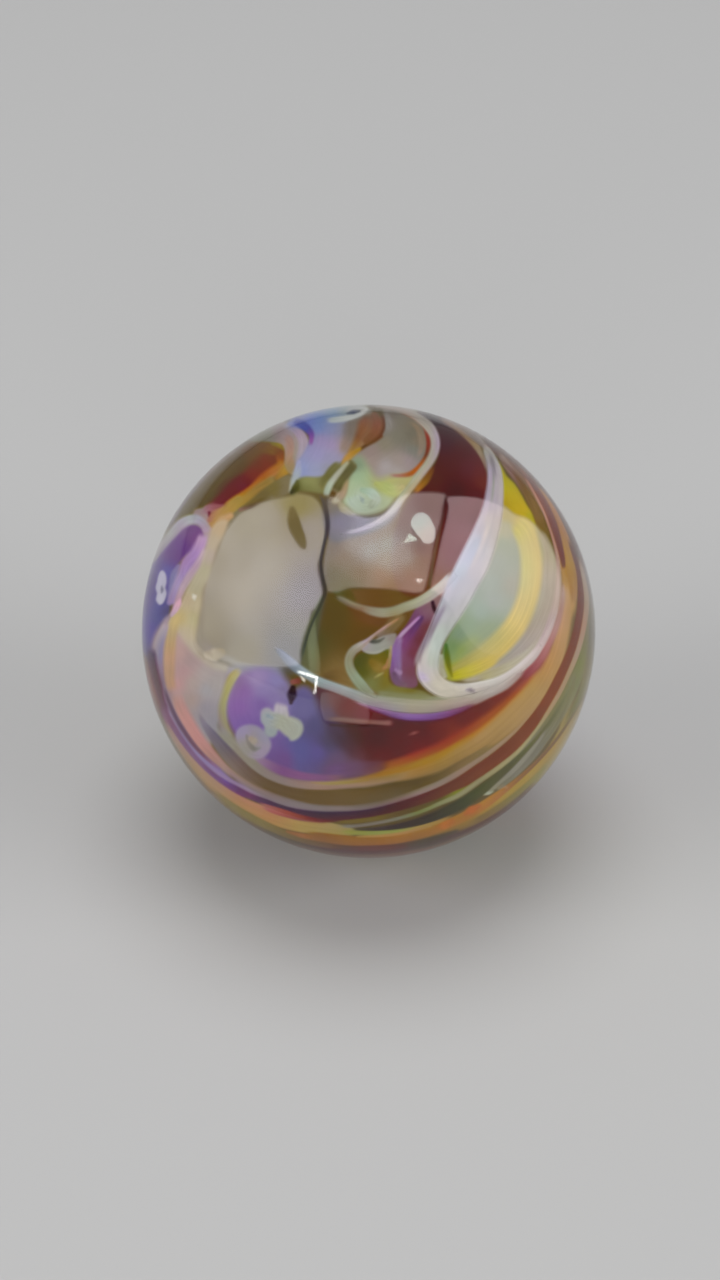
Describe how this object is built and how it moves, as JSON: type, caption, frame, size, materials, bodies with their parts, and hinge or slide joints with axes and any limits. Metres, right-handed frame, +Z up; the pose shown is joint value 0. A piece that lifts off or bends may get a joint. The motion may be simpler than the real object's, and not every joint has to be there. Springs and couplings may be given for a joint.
{
  "type": "glass marble",
  "caption": "Solid handmade glass marble, a polished ball with ribbons of coloured glass swirled through an olive body, for show or play.",
  "frame": {"origin": "centre of the ball", "axes": "+Z up as it is shown, the swirl's face looks along -Y and 35 degrees up"},
  "size_m": [0.038, 0.038, 0.038],
  "materials": {
    "swirl_glass": "polished art glass: olive-brown body with oxblood, gold, violet, sage and white ribbons just under a clear skin"
  },
  "bodies": {
    "root": {"marble": "swirl_glass"}
  },
  "joints": []
}
